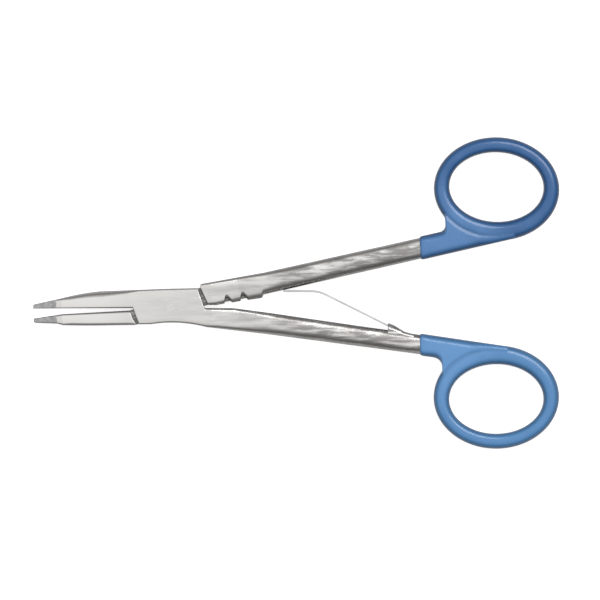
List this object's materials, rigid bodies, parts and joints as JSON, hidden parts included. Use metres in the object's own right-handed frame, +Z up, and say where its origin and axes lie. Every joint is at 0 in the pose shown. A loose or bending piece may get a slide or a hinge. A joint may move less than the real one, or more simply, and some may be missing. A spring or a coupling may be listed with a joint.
{
  "type": "ligating clip applier",
  "caption": "Ring-handled surgical clip applier with a box lock, straight narrow grooved jaws, a leaf spring that opens it, and coated finger rings.",
  "frame": {"origin": "on the pivot axis, in the plane that the tool rests on when it lies flat", "axes": "+X along the jaws' closure line from the pivot towards the finger rings, +Z up out of the flat side, along the pivot pin"},
  "size_m": [0.1533, 0.0904, 0.0056],
  "materials": {
    "steel": "satin stainless steel",
    "pin_steel": "ground flush",
    "spring_steel": "polished spring steel",
    "blue_coating": "smooth dipped plastic"
  },
  "bodies": {
    "box": {"box_half": "steel", "pivot_pin": "pin_steel", "leaf_spring": "spring_steel", "lower_ring_coating": "blue_coating"},
    "pass": {"pass_half": "steel", "upper_ring_coating": "blue_coating"}
  },
  "joints": [
    {"name": "lock_pivot", "type": "hinge", "parent": "box", "child": "pass", "pos_m": [0, 0, 0.0028], "axis": [0, 0, 1], "range_deg": [-3, 0], "stiffness_Nm_per_rad": 2.5, "springref_deg": 3.44, "deforming": ["leaf_spring"]}
  ]
}
